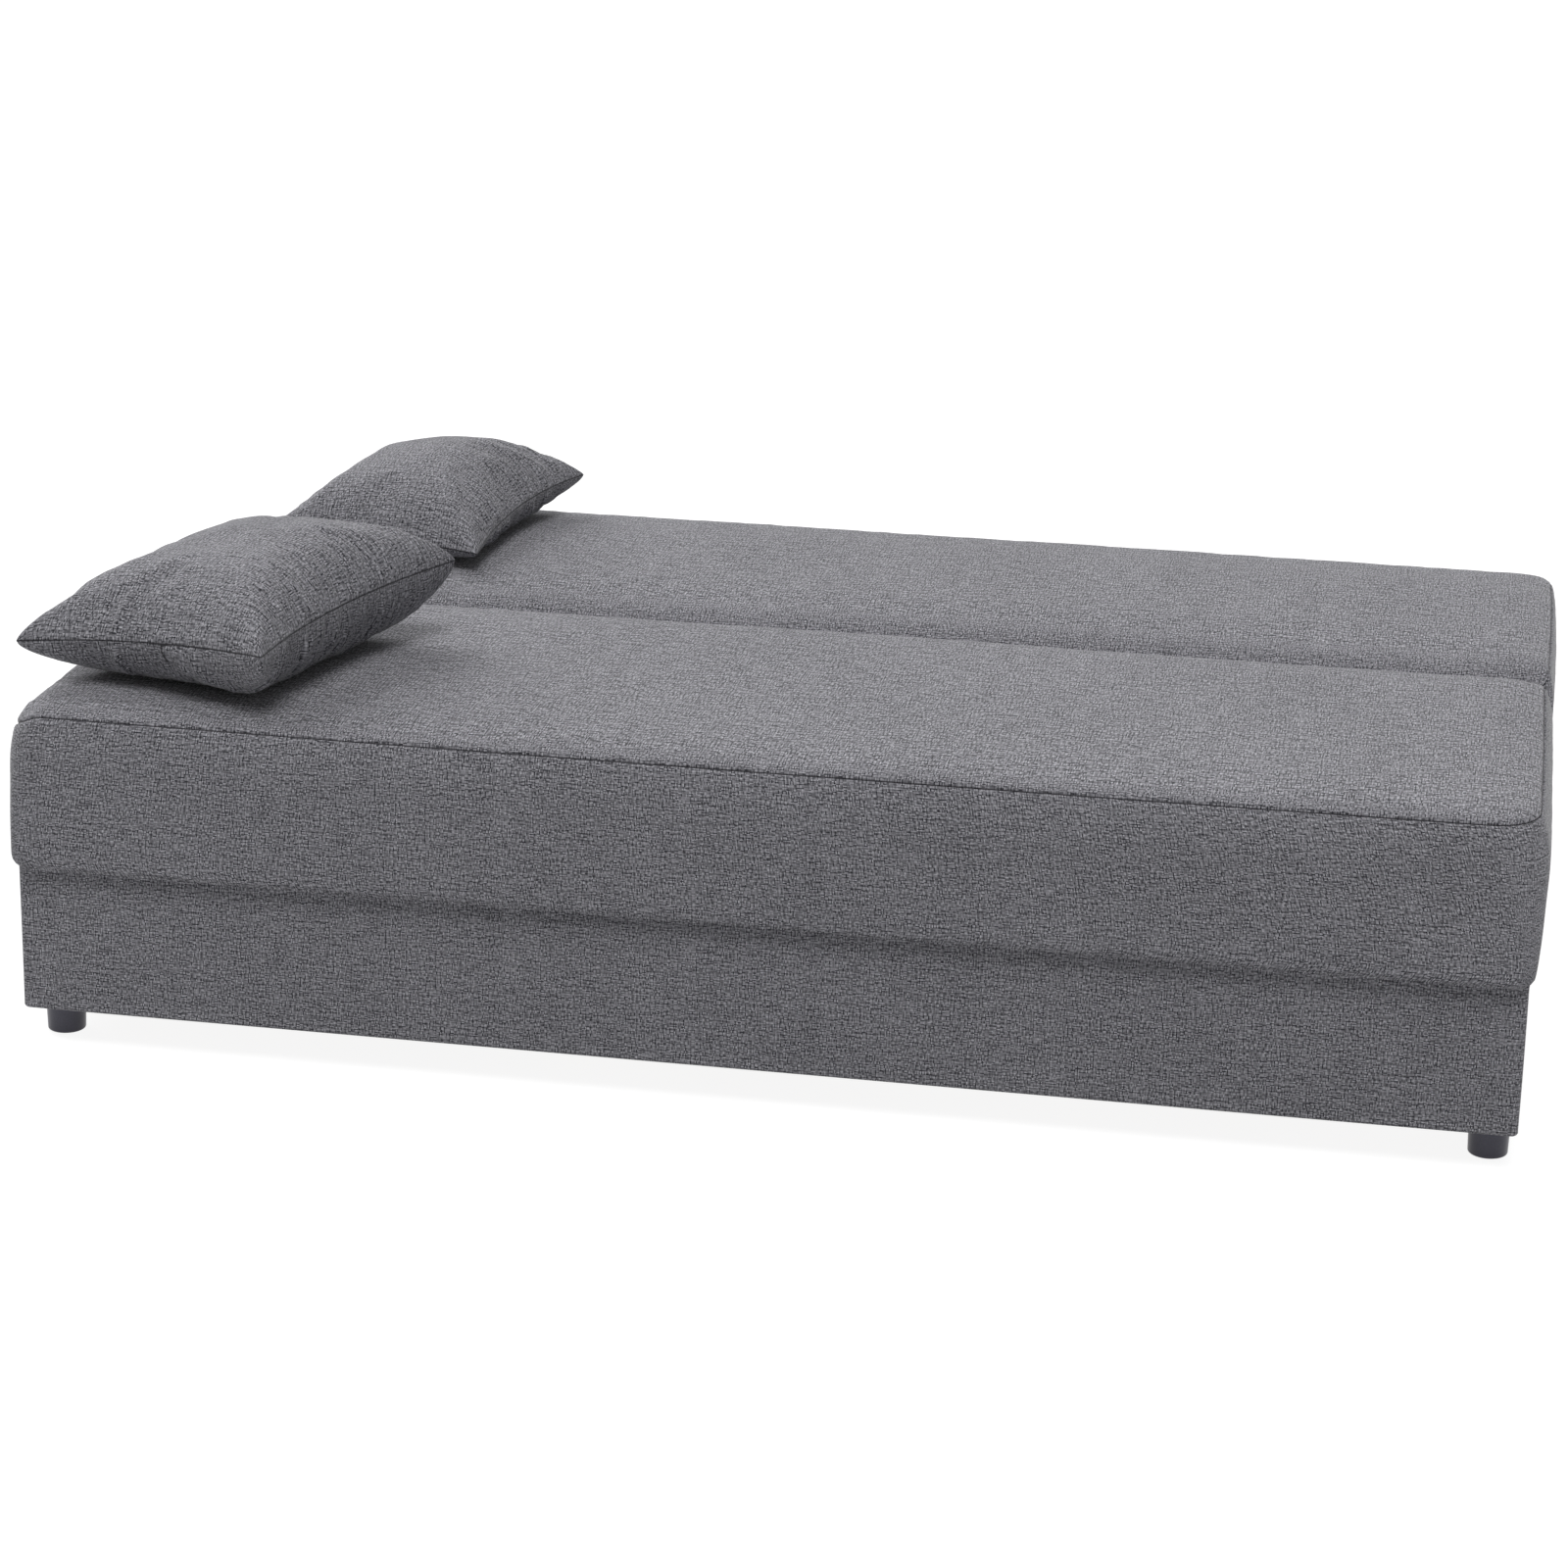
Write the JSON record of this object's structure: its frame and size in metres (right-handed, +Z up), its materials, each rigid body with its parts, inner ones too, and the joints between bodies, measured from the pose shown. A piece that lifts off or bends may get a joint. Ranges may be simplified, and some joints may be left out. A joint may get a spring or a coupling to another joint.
{
  "type": "sofa bed",
  "caption": "Upholstered sofa bed laid flat: a seat pad on a plinth with round feet, a back pad that folds up on hidden hinges, folding rear legs and loose pillows.",
  "frame": {"origin": "centre of the bounding box on the floor under the feet", "axes": "+X along the length of the bed, +Y from the front of the seat to the rear of the back, +Z up"},
  "size_m": [1.9841, 1.3045, 0.6353],
  "materials": {
    "upholstery": "matte",
    "lining": "matte",
    "foam": "matte",
    "pillow_filling": "matte",
    "webbing": "matte",
    "felt": "matte",
    "foot_plastic": "satin",
    "nylon": "matte",
    "zinc_steel": "satin",
    "painted_steel": "satin",
    "hardboard": "matte",
    "timber": "matte"
  },
  "bodies": {
    "base": {"base_bottom_panel": "hardboard", "base_cleats": "timber", "base_corner_blocks": "timber", "base_cover": "upholstery", "base_cross_boards": "timber", "base_front_board": "timber", "base_left_board": "timber", "base_rear_board": "timber", "base_right_board": "timber", "foot_bolts": "zinc_steel", "foot_front_left": "foot_plastic", "foot_front_right": "foot_plastic", "foot_rear_left": "foot_plastic", "foot_rear_right": "foot_plastic", "hinge_plate_bolts": "zinc_steel", "hinge_plate_left": "painted_steel", "hinge_plate_nuts": "zinc_steel", "hinge_plate_right": "painted_steel", "pivot_nuts": "zinc_steel", "pivot_pins": "zinc_steel", "pivot_washers": "nylon", "seat_bolts": "zinc_steel", "seat_cover": "upholstery", "seat_cross_rails": "timber", "seat_dust_cover": "lining", "seat_felt": "felt", "seat_foam": "foam", "seat_front_rail": "timber", "seat_left_rail": "timber", "seat_rear_rail": "timber", "seat_right_rail": "timber", "seat_straps": "webbing"},
    "back": {"back_cover": "upholstery", "back_cross_rails": "timber", "back_dust_cover": "lining", "back_felt": "felt", "back_foam": "foam", "back_front_rail": "timber", "back_left_rail": "timber", "back_leg_rail": "timber", "back_rear_rail": "timber", "back_right_rail": "timber", "back_straps": "webbing", "hinge_arm_left": "painted_steel", "hinge_arm_right": "painted_steel", "hinge_arm_screws": "zinc_steel", "leg_bracket_screws": "zinc_steel", "leg_brackets": "painted_steel", "leg_pins": "zinc_steel"},
    "rear_legs": {"leg_caps": "foot_plastic", "leg_cross_tube": "painted_steel", "leg_post_left": "painted_steel", "leg_post_right": "painted_steel"},
    "front_pillow": {"pillow_front_cover": "upholstery", "pillow_front_filling": "pillow_filling"},
    "rear_pillow": {"pillow_rear_cover": "upholstery", "pillow_rear_filling": "pillow_filling"}
  },
  "joints": [
    {"name": "back_fold", "type": "hinge", "parent": "base", "child": "back", "pos_m": [0, 0.121, 0.377], "axis": [1, 0, 0], "range_deg": [0, 70]},
    {"name": "leg_fold", "type": "hinge", "parent": "back", "child": "rear_legs", "pos_m": [0, 0.56, 0.224], "axis": [-1, 0, 0], "range_deg": [0, 88]},
    {"name": "front_pillow_lift", "type": "slide", "parent": "base", "child": "front_pillow", "axis": [0, -0.5, 0.866], "range_m": [0, 0.3]},
    {"name": "rear_pillow_lift", "type": "slide", "parent": "back", "child": "rear_pillow", "axis": [0, 0.866, 0.5], "range_m": [0, 0.35]}
  ]
}
